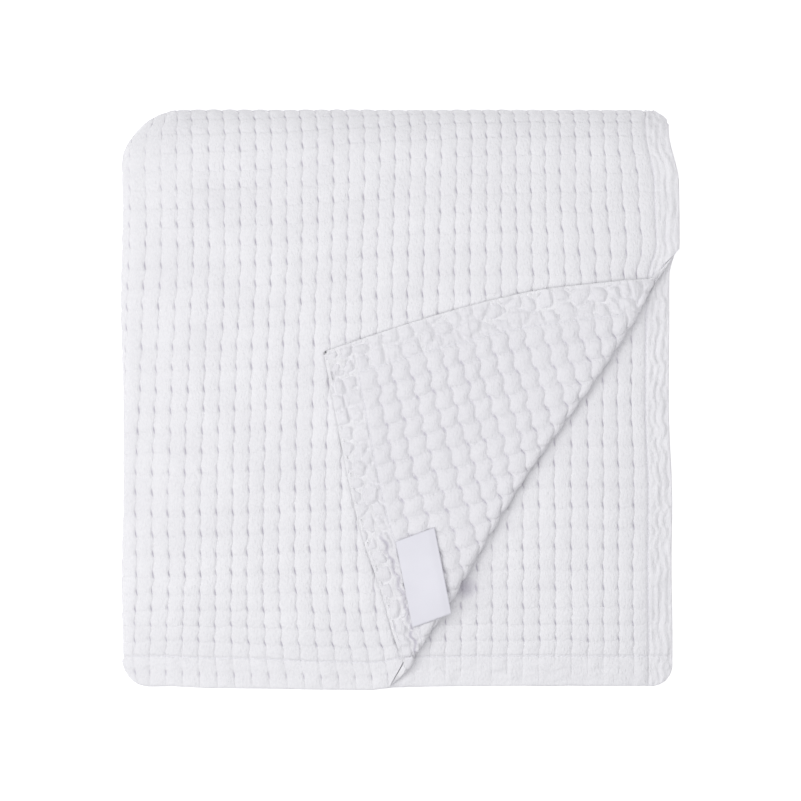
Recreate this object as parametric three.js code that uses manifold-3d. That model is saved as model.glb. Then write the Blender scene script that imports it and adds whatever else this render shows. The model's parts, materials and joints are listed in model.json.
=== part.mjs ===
// A folded waffle-weave cotton throw: one woven sheet with hems all round, folded in four across its
// width and then in four along its length, so it lies sixteen layers deep. The bottom right corner of
// the top layer is turned back and shows the reverse, two hems and a blank label.
// Millimetres. +X is right, +Y is towards the big rolled edge, +Z is up, and the throw rests on z = 0.
import * as THREE from "three";
import { mergeVertices } from "three/addons/utils/BufferGeometryUtils.js";
import Module from "manifold-3d";

// Driving dimensions
const WIDTH = 365; // folded size along X
const LENGTH = 381; // folded size along Y
const CLOTH = 4.2; // thickness of one puffy layer
const GAP = 0.3; // air between two layers that touch
const HEM = 20; // width of a sewn hem band
const SEAM = 1.2; // stitched groove between a hem band and the cloth beside it
const THREAD = 0.6; // thickness of a line of stitching
const CORNER_BOTTOM_X = -6; // where the turned corner's fold leaves the bottom edge
const CORNER_SIDE_Y = 84; // where the turned corner's fold leaves the right edge
const CORNER_TIP = new THREE.Vector2(-48.5, 29.7); // where the tip of the turned corner lies
const CORNER_TILT = THREE.MathUtils.degToRad(11.1); // turn of the flap's lower hem away from -Y
const FOLD_DEPTH = 7; // how far the corner's loose fold stands out past the two layers it joins
const FOLD_LIFT = 0.8; // height of the flap over the layer that it lies on
const LABEL = { along: 58, across: 27, thick: 0.4, fromTip: 130 };
const LABEL_SKEW = 4.3; // how far the label's free edge is pulled up towards the corner's tip
const ARC_STEPS = 6; // flat faces in each half-round turn
const BEND_STEPS = 10; // flat faces round each rolled edge

// Worked out from the driving dimensions
const PITCH = CLOTH + GAP;
const STRIP = 4 * PITCH - GAP; // height of the four layers made by the folds across the width
const STACK = 4 * STRIP + 3 * GAP; // height of all sixteen layers
const RIGHT = WIDTH / 2;
const FAR = LENGTH / 2;
const LEFT_TURN_X = -RIGHT + STRIP / 2; // axis of the two turns on the left side
const RIGHT_TURN_X = RIGHT - PITCH + GAP / 2; // axis of the turn on the right side
const TOP_ROLL = { y: FAR - (STACK + GAP) / 2, z: STACK / 2 }; // axis of both turns at the far edge
const BOTTOM_ROLL = { y: -FAR + STRIP + GAP, z: STRIP + GAP / 2 }; // axis of the turn at the near edge
const CORNER_BOTTOM = new THREE.Vector2(CORNER_BOTTOM_X, -FAR);
const CORNER_SIDE = new THREE.Vector2(RIGHT, CORNER_SIDE_Y);
const ALONG_FOLD = CORNER_SIDE.clone().sub(CORNER_BOTTOM).normalize();
const PAST_FOLD = new THREE.Vector2(ALONG_FOLD.y, -ALONG_FOLD.x); // towards the exposed layer
const ALONG_HEM = new THREE.Vector2(Math.sin(CORNER_TILT), -Math.cos(CORNER_TILT));
const ACROSS_HEM = new THREE.Vector2(-ALONG_HEM.y, ALONG_HEM.x);
const FLAP_Z = STACK + FOLD_LIFT;

const cotton = new THREE.MeshStandardMaterial({ color: 0xf0f0f4, roughness: 0.95, metalness: 0 });
const sewing = new THREE.MeshStandardMaterial({ color: 0xf4f4f6, roughness: 0.8, metalness: 0 });
const satin = new THREE.MeshStandardMaterial({ color: 0xf2f3fa, roughness: 0.45, metalness: 0 });

// The four ribbons of the folded strip, counted from the one that its last turn leaves.
// a carries one side hem and turns on the left to d; b carries the other and turns on the left to c.
const RIBBONS = { d: 0, c: 1, b: 2, a: 3 };

// The four quarters of the strip, from the top of the stack down. base is the height of ribbon d's
// outer face, and sign says whether the ribbons rise from it or fall.
const QUARTERS = [
  { firstLayer: 1, base: 3 * (STRIP + GAP), sign: 1, hemmed: true },
  { firstLayer: 5, base: 3 * STRIP + 2 * GAP, sign: -1, hemmed: true },
  { firstLayer: 9, base: STRIP + GAP, sign: 1, hemmed: false },
  { firstLayer: 13, base: STRIP, sign: -1, hemmed: false },
];

const wasm = await Module();
wasm.setup();

const two = (n) => String(n).padStart(2, "0");
const layerNumber = (quarter, ribbon) =>
  quarter.firstLayer + (quarter.sign > 0 ? RIBBONS.a - RIBBONS[ribbon] : RIBBONS[ribbon]);

function namedMesh(name, geometry, material) {
  const mesh = new THREE.Mesh(geometry, material);
  mesh.name = name;
  return mesh;
}

// Points on an arc, both ends included.
function arc(x, y, radius, from, to) {
  return Array.from({ length: ARC_STEPS + 1 }, (_, i) => {
    const angle = from + ((to - from) * i) / ARC_STEPS;
    return new THREE.Vector2(x + radius * Math.cos(angle), y + radius * Math.sin(angle));
  });
}

// Section of a ribbon that runs straight from runEnd to turnX and there turns down half a circle.
function turnedSection(runEnd, turnX, middle, radius) {
  const side = Math.sign(turnX - runEnd);
  const down = -Math.PI / 2;
  const up = side > 0 ? Math.PI / 2 : (-3 * Math.PI) / 2;
  return new THREE.Shape([
    new THREE.Vector2(runEnd, middle + radius),
    ...arc(turnX, middle, radius, up, down),
    ...arc(turnX, middle, radius - CLOTH, down, up),
    new THREE.Vector2(runEnd, middle + radius - CLOTH),
  ]);
}

function flatSection(fromX, toX, low) {
  return new THREE.Shape([
    new THREE.Vector2(fromX, low),
    new THREE.Vector2(toX, low),
    new THREE.Vector2(toX, low + CLOTH),
    new THREE.Vector2(fromX, low + CLOTH),
  ]);
}

// Section of one ribbon across the width; hemX is where ribbons a and b end on the right.
function ribbonSection(ribbon, hemX) {
  const turnMiddle = STRIP / 2;
  if (ribbon === "a") return turnedSection(hemX, LEFT_TURN_X, turnMiddle, STRIP / 2);
  if (ribbon === "b") return turnedSection(hemX, LEFT_TURN_X, turnMiddle, PITCH - GAP / 2);
  const start = LEFT_TURN_X + GAP;
  const radius = PITCH - GAP / 2;
  if (ribbon === "c") return turnedSection(start, RIGHT_TURN_X, radius, radius);
  return flatSection(start, RIGHT_TURN_X - GAP, 0);
}

// A section of a quarter run straight along Y between two places.
function alongY(name, section, quarter, fromY, toY) {
  const depth = toY - fromY;
  const mesh = namedMesh(
    name,
    new THREE.ExtrudeGeometry(section, { depth, bevelEnabled: false }),
    cotton,
  );
  mesh.rotation.x = (quarter.sign * Math.PI) / 2;
  mesh.position.set(0, quarter.sign > 0 ? toY : fromY, quarter.base);
  return mesh;
}

// A section turned half a circle round a rolled edge. side is 1 at the far edge and -1 at the near
// one; outward is 1 where ribbon a is the outermost and -1 where it is the innermost.
function roundEdge(name, section, roll, innerRadius, side, outward) {
  const geometry = new THREE.ExtrudeGeometry(section, {
    depth: Math.PI,
    steps: BEND_STEPS,
    bevelEnabled: false,
  });
  const place = geometry.getAttribute("position");
  for (let i = 0; i < place.count; i++) {
    const radius = innerRadius + outward * place.getY(i);
    const angle = place.getZ(i);
    place.setY(i, roll.y + side * (GAP / 2 + radius * Math.sin(angle)));
    place.setZ(i, roll.z - side * outward * radius * Math.cos(angle));
  }
  geometry.computeVertexNormals();
  return namedMesh(name, geometry, cotton);
}

// A closed plate of the given plan outline, from height low up.
function plate(name, outline, low, thick, material = cotton) {
  const geometry = new THREE.ExtrudeGeometry(new THREE.Shape(outline), {
    depth: thick,
    bevelEnabled: false,
  });
  const mesh = namedMesh(name, geometry, material);
  mesh.position.z = low;
  return mesh;
}

// A line of stitching that fills the groove between two places, at the height of one layer.
function stitching(name, from, to, low) {
  const run = to.clone().sub(from);
  const mesh = namedMesh(
    name,
    new THREE.BoxGeometry(run.length(), THREAD, CLOTH - 2 * GAP),
    sewing,
  );
  mesh.position.set((from.x + to.x) / 2, (from.y + to.y) / 2, low + CLOTH / 2);
  mesh.rotation.z = Math.atan2(run.y, run.x);
  return mesh;
}

function solidOf(mesh) {
  mesh.updateMatrixWorld(true);
  const bare = mesh.geometry.clone().applyMatrix4(mesh.matrixWorld);
  bare.deleteAttribute("normal");
  bare.deleteAttribute("uv");
  const merged = mergeVertices(bare.index ? bare.toNonIndexed() : bare, 1e-4);
  return new wasm.Manifold(
    new wasm.Mesh({
      numProp: 3,
      vertProperties: merged.attributes.position.array,
      triVerts: new Uint32Array(merged.index.array),
    }),
  );
}

// The mesh with everything past the corner's fold cut away.
function withoutCorner(mesh) {
  const edge = CORNER_BOTTOM.clone().addScaledVector(PAST_FOLD, -FOLD_DEPTH);
  const outline = [
    edge.clone().addScaledVector(ALONG_FOLD, -WIDTH),
    edge.clone().addScaledVector(ALONG_FOLD, -WIDTH).addScaledVector(PAST_FOLD, 2 * WIDTH),
    edge.clone().addScaledVector(ALONG_FOLD, 2 * WIDTH).addScaledVector(PAST_FOLD, 2 * WIDTH),
    edge.clone().addScaledVector(ALONG_FOLD, 2 * WIDTH),
  ];
  const cutter = plate("cutter", outline, 0, 2 * STACK);
  const cut = solidOf(mesh).subtract(solidOf(cutter)).getMesh();
  const geometry = new THREE.BufferGeometry();
  geometry.setAttribute("position", new THREE.BufferAttribute(cut.vertProperties, 3));
  geometry.setIndex(new THREE.BufferAttribute(cut.triVerts, 1));
  geometry.computeVertexNormals();
  return namedMesh(mesh.name, geometry, mesh.material);
}

// A place on the turned corner: along is measured from its tip along the hem that was the bottom
// one, and across is measured from that hem's edge towards the fold.
function onFlap(along, across) {
  return CORNER_TIP.clone()
    .addScaledVector(ALONG_HEM, along)
    .addScaledVector(ACROSS_HEM, across);
}

// The place where a line that leaves a point of the flap meets the start of the fold.
function atFold(from, direction) {
  const short = CORNER_BOTTOM.clone().sub(from).dot(PAST_FOLD) - FOLD_DEPTH;
  return from.clone().addScaledVector(direction, short / direction.dot(PAST_FOLD));
}

function addQuarterLayers(group, quarter) {
  const fromY = quarter.hemmed ? -FAR + HEM + SEAM : BOTTOM_ROLL.y + GAP / 2;
  const toY = TOP_ROLL.y - GAP / 2;
  for (const ribbon of Object.keys(RIBBONS)) {
    const number = layerNumber(quarter, ribbon);
    const finish = number === 1 ? withoutCorner : (mesh) => mesh;
    const section = ribbonSection(ribbon, RIGHT - HEM - SEAM);
    group.add(finish(alongY("layer_" + two(number), section, quarter, fromY, toY)));
    if (ribbon === "a" || ribbon === "b") {
      const band = flatSection(RIGHT - HEM, RIGHT, RIBBONS[ribbon] * PITCH);
      group.add(finish(alongY("side_hem_" + two(number), band, quarter, fromY, toY)));
    }
    if (quarter.hemmed) {
      const whole = ribbonSection(ribbon, RIGHT);
      const hem = alongY("bottom_hem_" + two(number), whole, quarter, -FAR, -FAR + HEM);
      group.add(finish(hem));
    }
  }
}

function addRoll(group, name, upper, lower, roll, side, outward) {
  const innerRadius = Math.abs(upper.base - roll.z);
  for (const ribbon of Object.keys(RIBBONS)) {
    const joined = [layerNumber(upper, ribbon), layerNumber(lower, ribbon)].map(two).join("_");
    const section = ribbonSection(ribbon, RIGHT);
    group.add(roundEdge(name + joined, section, roll, innerRadius, side, outward));
  }
}

function addStitching(group) {
  const grooveX = RIGHT - HEM - SEAM / 2;
  const grooveY = -FAR + HEM + SEAM / 2;
  const foldAtGroove = atFold(new THREE.Vector2(0, grooveY), new THREE.Vector2(1, 0)).x;
  const foldAtSide = atFold(new THREE.Vector2(grooveX, 0), new THREE.Vector2(0, 1)).y;
  for (const number of [1, 2]) {
    const low = STACK - number * PITCH + GAP;
    const endX = number === 1 ? foldAtGroove - SEAM : grooveX - SEAM;
    const startY = number === 1 ? foldAtSide + SEAM : grooveY + SEAM;
    const left = new THREE.Vector2(LEFT_TURN_X, grooveY);
    const right = new THREE.Vector2(endX, grooveY);
    group.add(stitching("bottom_hem_thread_" + two(number), left, right, low));
    const near = new THREE.Vector2(grooveX, startY);
    const far = new THREE.Vector2(grooveX, TOP_ROLL.y - GAP);
    group.add(stitching("side_hem_thread_" + two(number), near, far, low));
  }
}

function flapPanel() {
  const inner = onFlap(HEM + SEAM, HEM + SEAM);
  const outline = [inner, atFold(inner, ALONG_HEM), atFold(inner, ACROSS_HEM)];
  return plate("corner_flap", outline, FLAP_Z, CLOTH);
}

function flapBottomHem() {
  const outline = [
    onFlap(0, 0),
    atFold(onFlap(0, 0), ALONG_HEM),
    atFold(onFlap(0, HEM), ALONG_HEM),
    onFlap(0, HEM),
  ];
  return plate("flap_bottom_hem", outline, FLAP_Z, CLOTH);
}

function flapSideHem() {
  const outline = [
    onFlap(0, HEM + SEAM),
    onFlap(HEM, HEM + SEAM),
    atFold(onFlap(HEM, 0), ACROSS_HEM),
    atFold(onFlap(0, 0), ACROSS_HEM),
  ];
  return plate("flap_side_hem", outline, FLAP_Z, CLOTH);
}

function flapStitching(name, start, direction) {
  const end = atFold(start, direction).addScaledVector(direction, -2 * SEAM);
  return stitching(name, start, end, FLAP_Z);
}

// The loose half-round fold that joins the top layer to the flap.
function cornerFold() {
  const middle = (STACK + FLAP_Z) / 2;
  const rise = FLAP_Z + CLOTH - middle;
  const half = arc(0, 0, 1, -Math.PI / 2, Math.PI / 2);
  const outer = half.map((p) => new THREE.Vector2(p.x * FOLD_DEPTH, p.y * rise));
  const inner = half
    .map((p) => new THREE.Vector2(p.x * (FOLD_DEPTH - CLOTH), p.y * (rise - CLOTH)))
    .reverse();
  const edge = CORNER_BOTTOM.clone().addScaledVector(PAST_FOLD, -FOLD_DEPTH + GAP);
  const length = CORNER_SIDE.distanceTo(CORNER_BOTTOM) - 2 * HEM;
  const geometry = new THREE.ExtrudeGeometry(new THREE.Shape([...outer, ...inner]), {
    depth: length,
    bevelEnabled: false,
  });
  const mesh = namedMesh("corner_fold", geometry, cotton);
  const away = new THREE.Vector3(PAST_FOLD.x, PAST_FOLD.y, 0);
  const up = new THREE.Vector3(0, 0, 1);
  const back = new THREE.Vector3().crossVectors(away, up);
  edge.addScaledVector(ALONG_FOLD, HEM + length);
  mesh.matrixAutoUpdate = false;
  mesh.matrix.makeBasis(away, up, back).setPosition(edge.x, edge.y, middle);
  return mesh;
}

function labelPlate() {
  const near = HEM + SEAM / 2 + GAP;
  const free = near + LABEL.across;
  const end = LABEL.fromTip + LABEL.along;
  const outline = [
    onFlap(LABEL.fromTip, near),
    onFlap(end, near),
    onFlap(end - LABEL_SKEW, free),
    onFlap(LABEL.fromTip - LABEL_SKEW, free),
  ];
  return plate("label", outline, FLAP_Z + CLOTH + GAP, LABEL.thick, satin);
}

function lowerHalf() {
  const group = new THREE.Group();
  addQuarterLayers(group, QUARTERS[2]);
  addQuarterLayers(group, QUARTERS[3]);
  addRoll(group, "bottom_edge_roll_", QUARTERS[2], QUARTERS[3], BOTTOM_ROLL, -1, 1);
  addRoll(group, "top_edge_roll_", QUARTERS[0], QUARTERS[3], TOP_ROLL, 1, 1);
  addRoll(group, "top_edge_roll_", QUARTERS[1], QUARTERS[2], TOP_ROLL, 1, -1);
  return group;
}

function upperHalf() {
  const group = new THREE.Group();
  addQuarterLayers(group, QUARTERS[0]);
  addQuarterLayers(group, QUARTERS[1]);
  addStitching(group);
  return group;
}

function turnedCorner() {
  const group = new THREE.Group();
  const seam = HEM + SEAM / 2;
  group.add(flapPanel(), flapBottomHem(), flapSideHem(), cornerFold(), labelPlate());
  group.add(flapStitching("flap_bottom_hem_thread", onFlap(HEM + 2 * SEAM, seam), ALONG_HEM));
  group.add(flapStitching("flap_side_hem_thread", onFlap(seam, HEM + 2 * SEAM), ACROSS_HEM));
  return group;
}

const blanket = new THREE.Group();
blanket.add(lowerHalf(), upperHalf(), turnedCorner());

export default blanket;
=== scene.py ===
"""A folded throw of puffy waffle cotton, one corner turned back to show its reverse and a blank satin label.

Lengths are in millimetres here, in the CAD frame, and add_piece turns them into metres. The cloth is one
sheet, folded in four across and in four along. A point of it is (s, t): s runs across the throw from the top
ply's side hem, t runs along it from the top ply's near hem. The same point is (p, q) counted in cells of the
weave. Every piece of cloth is a closed slab made on a grid of weave lines, where w is 1 on its finely made
face, -1 on its other face and between them round a rim.
"""
import json
import math

import bmesh
import bpy
import numpy as np
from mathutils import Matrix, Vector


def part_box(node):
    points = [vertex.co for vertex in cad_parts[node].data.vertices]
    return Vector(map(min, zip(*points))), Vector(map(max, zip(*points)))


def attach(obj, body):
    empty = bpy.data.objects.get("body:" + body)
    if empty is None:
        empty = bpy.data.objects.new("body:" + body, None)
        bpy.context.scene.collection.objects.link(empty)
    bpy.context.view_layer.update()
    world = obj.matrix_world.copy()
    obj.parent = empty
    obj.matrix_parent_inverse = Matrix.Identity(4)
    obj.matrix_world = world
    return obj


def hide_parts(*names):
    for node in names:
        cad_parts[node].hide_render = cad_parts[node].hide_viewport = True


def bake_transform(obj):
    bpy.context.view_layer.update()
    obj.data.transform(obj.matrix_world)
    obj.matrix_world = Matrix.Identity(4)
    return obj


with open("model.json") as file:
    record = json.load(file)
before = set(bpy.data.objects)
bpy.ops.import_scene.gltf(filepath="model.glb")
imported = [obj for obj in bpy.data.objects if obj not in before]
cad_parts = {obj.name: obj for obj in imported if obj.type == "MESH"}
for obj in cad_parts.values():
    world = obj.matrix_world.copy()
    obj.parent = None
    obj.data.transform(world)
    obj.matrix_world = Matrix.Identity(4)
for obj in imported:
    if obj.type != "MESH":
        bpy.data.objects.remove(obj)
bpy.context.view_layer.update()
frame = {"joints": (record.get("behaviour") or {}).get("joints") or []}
MM = 0.001
PI = math.pi


# ---- Sizes taken from the CAD frame ----

def node_box(node):
    """The lowest and highest corner of a CAD node."""
    low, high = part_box(node)
    return np.array(low) / MM, np.array(high) / MM


def joint(name):
    """A joint of the frame: a point on its axis, and the axis."""
    found = next(item for item in frame["joints"] if item["name"] == name)
    return np.array(found["pos_m"]) / MM, np.array(found["axis"])


ROLL_LOW, ROLL_HIGH = node_box("top_edge_roll_01_16")
NEAR_ROLL_LOW, NEAR_ROLL_HIGH = node_box("bottom_edge_roll_09_16")
HEM_LOW, HEM_HIGH = node_box("side_hem_01")
NEXT_HEM_HIGH = node_box("side_hem_02")[1]

LEFT, RIGHT = ROLL_LOW[0], ROLL_HIGH[0]
NEAR, FAR = NEAR_ROLL_LOW[1], ROLL_HIGH[1]
STACK = ROLL_HIGH[2]
MIDDLE = STACK / 2
HEM = HEM_HIGH[0] - HEM_LOW[0]
CLOTH = HEM_HIGH[2] - HEM_LOW[2]
HALF = CLOTH / 2
PITCH = HEM_HIGH[2] - NEXT_HEM_HIGH[2]
GAP = PITCH - CLOTH
STRIP = 4 * PITCH - GAP
LOWER_STACK = NEAR_ROLL_HIGH[2]

FAR_AXIS_Y = FAR - MIDDLE
NEAR_AXIS_Y = NEAR + LOWER_STACK / 2
LEFT_TURN_X = LEFT + STRIP / 2
RIGHT_TURN_X = RIGHT - PITCH + GAP / 2
SMALL_BEND = PITCH / 2
BIG_BEND = STRIP / 2 - HALF


# ---- Small helpers ----

def smooth(value):
    """0 below 0, 1 above 1, and a smooth step between them."""
    value = np.clip(value, 0, 1)
    return value * value * (3 - 2 * value)


def rise(value, start, width):
    """A smooth step from 0 at start to 1, width further on."""
    return smooth((value - start) / width)


def fall(value, end, width):
    """A smooth step down to 0 at end, from 1 at width before it."""
    return smooth((end - value) / width)


def bump(value, centre, width):
    """A soft bump of height 1."""
    return np.exp(-((value - centre) / width) ** 2)


NOISE_SIZE = 128
NOISE = np.random.default_rng(41).uniform(-1, 1, (12, NOISE_SIZE, NOISE_SIZE))


def cell_noise(channel, i, j):
    """One steady random number from -1 to 1 for each whole-numbered place."""
    i = np.asarray(i).astype(int) % NOISE_SIZE
    j = np.asarray(j).astype(int) % NOISE_SIZE
    return NOISE[channel, i, j]


def soft_noise(channel, u, v):
    """Random numbers from -1 to 1 that change smoothly, over a distance of 1."""
    u, v = np.broadcast_arrays(np.asarray(u, float), np.asarray(v, float))
    i, j = np.floor(u), np.floor(v)
    a, b = smooth(u - i), smooth(v - j)
    low = cell_noise(channel, i, j) * (1 - a) + cell_noise(channel, i + 1, j) * a
    high = cell_noise(channel, i, j + 1) * (1 - a) + cell_noise(channel, i + 1, j + 1) * a
    return low * (1 - b) + high * b


# ---- The folded sheet: where a point (s, t) of the cloth lies ----

ACROSS_LENGTHS = [
    RIGHT - HALF - LEFT_TURN_X,
    PI * BIG_BEND,
    RIGHT_TURN_X - LEFT_TURN_X,
    PI * SMALL_BEND,
    RIGHT_TURN_X - LEFT_TURN_X,
    PI * SMALL_BEND,
    RIGHT - HALF - LEFT_TURN_X,
]
ACROSS_STOPS = np.concatenate([[0], np.cumsum(ACROSS_LENGTHS)])

FLAT_UPPER = FAR_AXIS_Y - NEAR - HALF
FLAT_LOWER = FAR_AXIS_Y - NEAR_AXIS_Y
INNER_RADIUS = MIDDLE - STRIP
ALONG_LENGTHS = [
    FLAT_UPPER,
    PI * (MIDDLE - HALF),
    FLAT_LOWER,
    PI * (STRIP - HALF),
    FLAT_LOWER,
    PI * SMALL_BEND,
    FLAT_UPPER,
]
ALONG_STOPS = np.concatenate([[0], np.cumsum(ALONG_LENGTHS)])


def across(s, off):
    """The strip's cross-section: x and the height h in the strip, off millimetres out from mid-cloth."""
    stops = ACROSS_STOPS
    part = np.clip(np.searchsorted(stops, s, side="right") - 1, 0, 6)
    run = s - stops[part]
    levels = np.array([STRIP - HALF, 0, HALF, 0, HALF + PITCH, 0, HALF + 2 * PITCH])[part]
    starts = np.array([RIGHT - HALF, 0, LEFT_TURN_X, 0, RIGHT_TURN_X, 0, LEFT_TURN_X])[part]
    ways = np.array([-1, 0, 1, 0, -1, 0, 1])[part]
    ups = np.array([1, 0, -1, 0, 1, 0, -1])[part]
    x = starts + ways * run
    h = levels + ups * off
    turns = (
        (1, LEFT_TURN_X, STRIP / 2, BIG_BEND, PI / 2, 1, 1),
        (3, RIGHT_TURN_X, PITCH - GAP / 2, SMALL_BEND, -PI / 2, 1, 1),
        (5, LEFT_TURN_X, STRIP / 2, SMALL_BEND, -PI / 2, -1, -1),
    )
    for index, centre_x, centre_h, bend, first, sweep, side in turns:
        here = part == index
        angle = first + sweep * run[here] / bend
        reach = bend + side * off[here]
        x[here] = centre_x + reach * np.cos(angle)
        h[here] = centre_h + reach * np.sin(angle)
    return x, h


def along(t, h):
    """Where the strip runs: y and z of the height h in the strip, t along it."""
    stops = ALONG_STOPS
    part = np.clip(np.searchsorted(stops, t, side="right") - 1, 0, 6)
    run = t - stops[part]
    far, near = FAR_AXIS_Y, NEAR_AXIS_Y
    low_middle = LOWER_STACK / 2
    choices = [part == index for index in range(7)]
    outer = INNER_RADIUS + h
    wrap = GAP / 2 + h
    inner = STRIP + GAP / 2 - h
    angle = PI * run / np.array(ALONG_LENGTHS)[part]
    sine, cosine = np.sin(angle), np.cos(angle)
    y = np.select(choices, [
        NEAR + HALF + run, far + outer * sine, far - run, near - wrap * sine,
        near + run, far + inner * sine, far - run,
    ])
    z = np.select(choices, [
        MIDDLE + outer, MIDDLE + outer * cosine, MIDDLE - outer, low_middle - wrap * cosine,
        low_middle + wrap, MIDDLE - inner * cosine, MIDDLE + inner,
    ])
    return y, z


# ---- The stack's own soft shape ----

# A rounding is a corner's side in x and y, and its radius. A zone is where a smooth step starts or ends, and
# its width.
CORNER_ROUNDING = ((-1, 1, 39), (1, 1, 14), (1, -1, 14), (-1, -1, 19))
TOP_PLY_DEPTH = 9
RIGHT_ZONE = (118, 62)
LEFT_ZONE = (-110, 70)
NEAR_ZONE = (-130, 55)
FAR_ZONE = (110, 80)
RIGHT_INSET = 4.2
RIGHT_INSET_EASE = 2.0
RIGHT_BULGE = 6.2
BULGE_RISE = (80, 22)
BULGE_FALL = (174, 32)
FAR_STRETCH = 3.2
LEFT_STRETCH = 2.2
NEAR_WANDER = 1.3
TOP_HEM_STRETCH = 1.8
FOLD_END_INSET = 2.2
NEAR_RIGHT_INSET = 1.0
NEAR_SAG = 4.2
FAR_SAG = 5.5
LEFT_SAG = 3.0
RIGHT_SAG = 2.5
TOP_WANDER = 0.9
FLOOR_SOFTNESS = 0.3


def settle(x, y, z):
    """Rounds the stack in plan, lets its edges wander and its top sag, and flattens it on the floor."""
    for side_x, side_y, radius in CORNER_ROUNDING:
        u = np.clip((side_x * x - RIGHT + radius) / radius, 0, 1.1)
        v = np.clip((side_y * y - FAR + radius) / radius, 0, 1.1)
        x = x + side_x * radius * (u * np.sqrt(1 - v * v / 2) - u)
        y = y + side_y * radius * (v * np.sqrt(1 - u * u / 2) - v)
    height = np.clip((z - MIDDLE) / MIDDLE, 0, None)
    top_ply = smooth((z - STACK + TOP_PLY_DEPTH) / 5)
    to_near = fall(y, *NEAR_ZONE)
    bulge = RIGHT_BULGE * fall(y, *BULGE_FALL) * rise(y, *BULGE_RISE) * top_ply
    inset = RIGHT_INSET - RIGHT_INSET_EASE * fall(y, -20, 90) + soft_noise(4, y / 55, z / 7 + 3)
    left_edge = soft_noise(5, y / 60, z / 9) - LEFT_STRETCH
    x = x + rise(x, *RIGHT_ZONE) * (bulge - inset) + fall(x, *LEFT_ZONE) * left_edge
    y = y + to_near * NEAR_WANDER * soft_noise(6, x / 48, z / 5.5) * rise(z, 20, 15)
    y = y - to_near * TOP_HEM_STRETCH * rise(x, -172, 50) * fall(x, 2, 12) * top_ply
    y = y + to_near * FOLD_END_INSET * bump(x, -3, 10) * top_ply
    y = y + to_near * NEAR_RIGHT_INSET * rise(x, -10, 30) + FAR_STRETCH * rise(y, *FAR_ZONE)
    sag = -NEAR_SAG * fall(y, -132, 56) - FAR_SAG * rise(y, 108, 50)
    sag = sag - LEFT_SAG * fall(x, -135, 46) - RIGHT_SAG * rise(x, 130, 50)
    sag = sag + TOP_WANDER * soft_noise(7, x / 62 + 5, y / 58 + 5)
    z = z + sag * height
    return x, y, np.where(z < FLOOR_SOFTNESS, FLOOR_SOFTNESS * np.exp(z / FLOOR_SOFTNESS - 1), z)


# ---- The weave's lines ----

NEAR_PITCHES = (10.7, 10.9, 11.2, 12.0, 13.0)
FAR_PITCHES = (12.9, 12.2, 11.8, 11.6)
TOP_ROWS = 25
SIDE_HEM_CELLS = 2.0
NEAR_HEM_CELLS = 1.5
STITCH_AT = HEM - HALF
HEM_TUCK = 4.0

COLUMN_P = np.array([-2, 0, 33, 35, 69, 70, 104, 105, 138, 140], float)
TURN_S = ACROSS_STOPS
COLUMN_S = np.array([
    0, STITCH_AT, TURN_S[1], TURN_S[2], TURN_S[3], TURN_S[4], TURN_S[5], TURN_S[6],
    TURN_S[7] - STITCH_AT, TURN_S[7],
])


def row_stops():
    """The whole-numbered rows q and where they lie along the cloth."""
    middle_rows = TOP_ROWS - len(NEAR_PITCHES) - len(FAR_PITCHES)
    rest = ALONG_STOPS[1] - STITCH_AT - sum(NEAR_PITCHES) - sum(FAR_PITCHES)
    pitches = list(NEAR_PITCHES) + [rest / middle_rows] * middle_rows + list(FAR_PITCHES)
    top = STITCH_AT + np.concatenate([[0], np.cumsum(pitches)])
    q = [-NEAR_HEM_CELLS] + list(range(TOP_ROWS + 1)) + [34, 58, 62, 86, 90, 115, 115 + NEAR_HEM_CELLS]
    stops = ALONG_STOPS
    t = [0] + list(top) + [stops[2], stops[3], stops[4], stops[5], stops[6], stops[7] - STITCH_AT, stops[7]]
    return np.array(q, float), np.array(t, float)


ROW_Q, ROW_T = row_stops()
INNER_ROLL = (86, 90)


def cloth_s(p):
    return np.interp(p, COLUMN_P, COLUMN_S)


def cloth_t(q):
    return np.interp(q, ROW_Q, ROW_T)


def in_cells(p, q):
    """1 in the open weave and 0 in the hem bands."""
    side = smooth(p / 0.4) * fall(p, 138, 0.4)
    ends = smooth(q / 0.4) * fall(q, 115, 0.4)
    return side * ends


def layout(p, q):
    """Where the crossing of weave lines p and q lies on the cloth: its lines lean, sag and wander."""
    inside = in_cells(p, q)
    top = 1 - rise(p, 36, 5)
    fade = top * (1 - rise(q, 26, 7))
    s = cloth_s(p)
    t = cloth_t(q)
    s = s - 7.0 * smooth(p / 12) * smooth(q / 25) * fade
    s = s - HEM_TUCK * np.clip((p + 2) / 2, 0, 1) * (1 - smooth(p / 9))
    s = s + HEM_TUCK * np.clip((140 - p) / 2, 0, 1) * (1 - fall(p, 138, 9))
    t = t + 5.5 * np.tanh((20 - p) / 7.4) * smooth(q / 7) * fade
    lean = np.where(p > 104, -0.5, 0.5)
    wander = lean * np.sin(2 * PI * q) + 0.35 * soft_noise(0, p, q) + 0.8 * soft_noise(1, p / 6, q / 5)
    s = s + inside * wander
    calm = smooth(np.abs(q - INNER_ROLL[0])) * smooth(np.abs(q - INNER_ROLL[1]))
    t = t + inside * calm * (0.7 * soft_noise(2, p, q) - 0.8 * np.sin(PI * p) ** 2)
    return s, t


def inner_roll_layout(p, q):
    """The tight inner roll: its rows are spaced so that they spread evenly when the fold opens."""
    s, _ = layout(p, np.clip(q, *INNER_ROLL))
    share = np.clip((q - INNER_ROLL[0]) / (INNER_ROLL[1] - INNER_ROLL[0]), 0, 1)
    rise = 0.5 - np.sin(np.arcsin(1 - 2 * share) / 3)
    angle = np.arccos(np.clip(1 - 2 * rise, -1, 1))
    return s, ALONG_STOPS[5] + ALONG_LENGTHS[5] * angle / PI


# ---- The weave's relief ----

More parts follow.
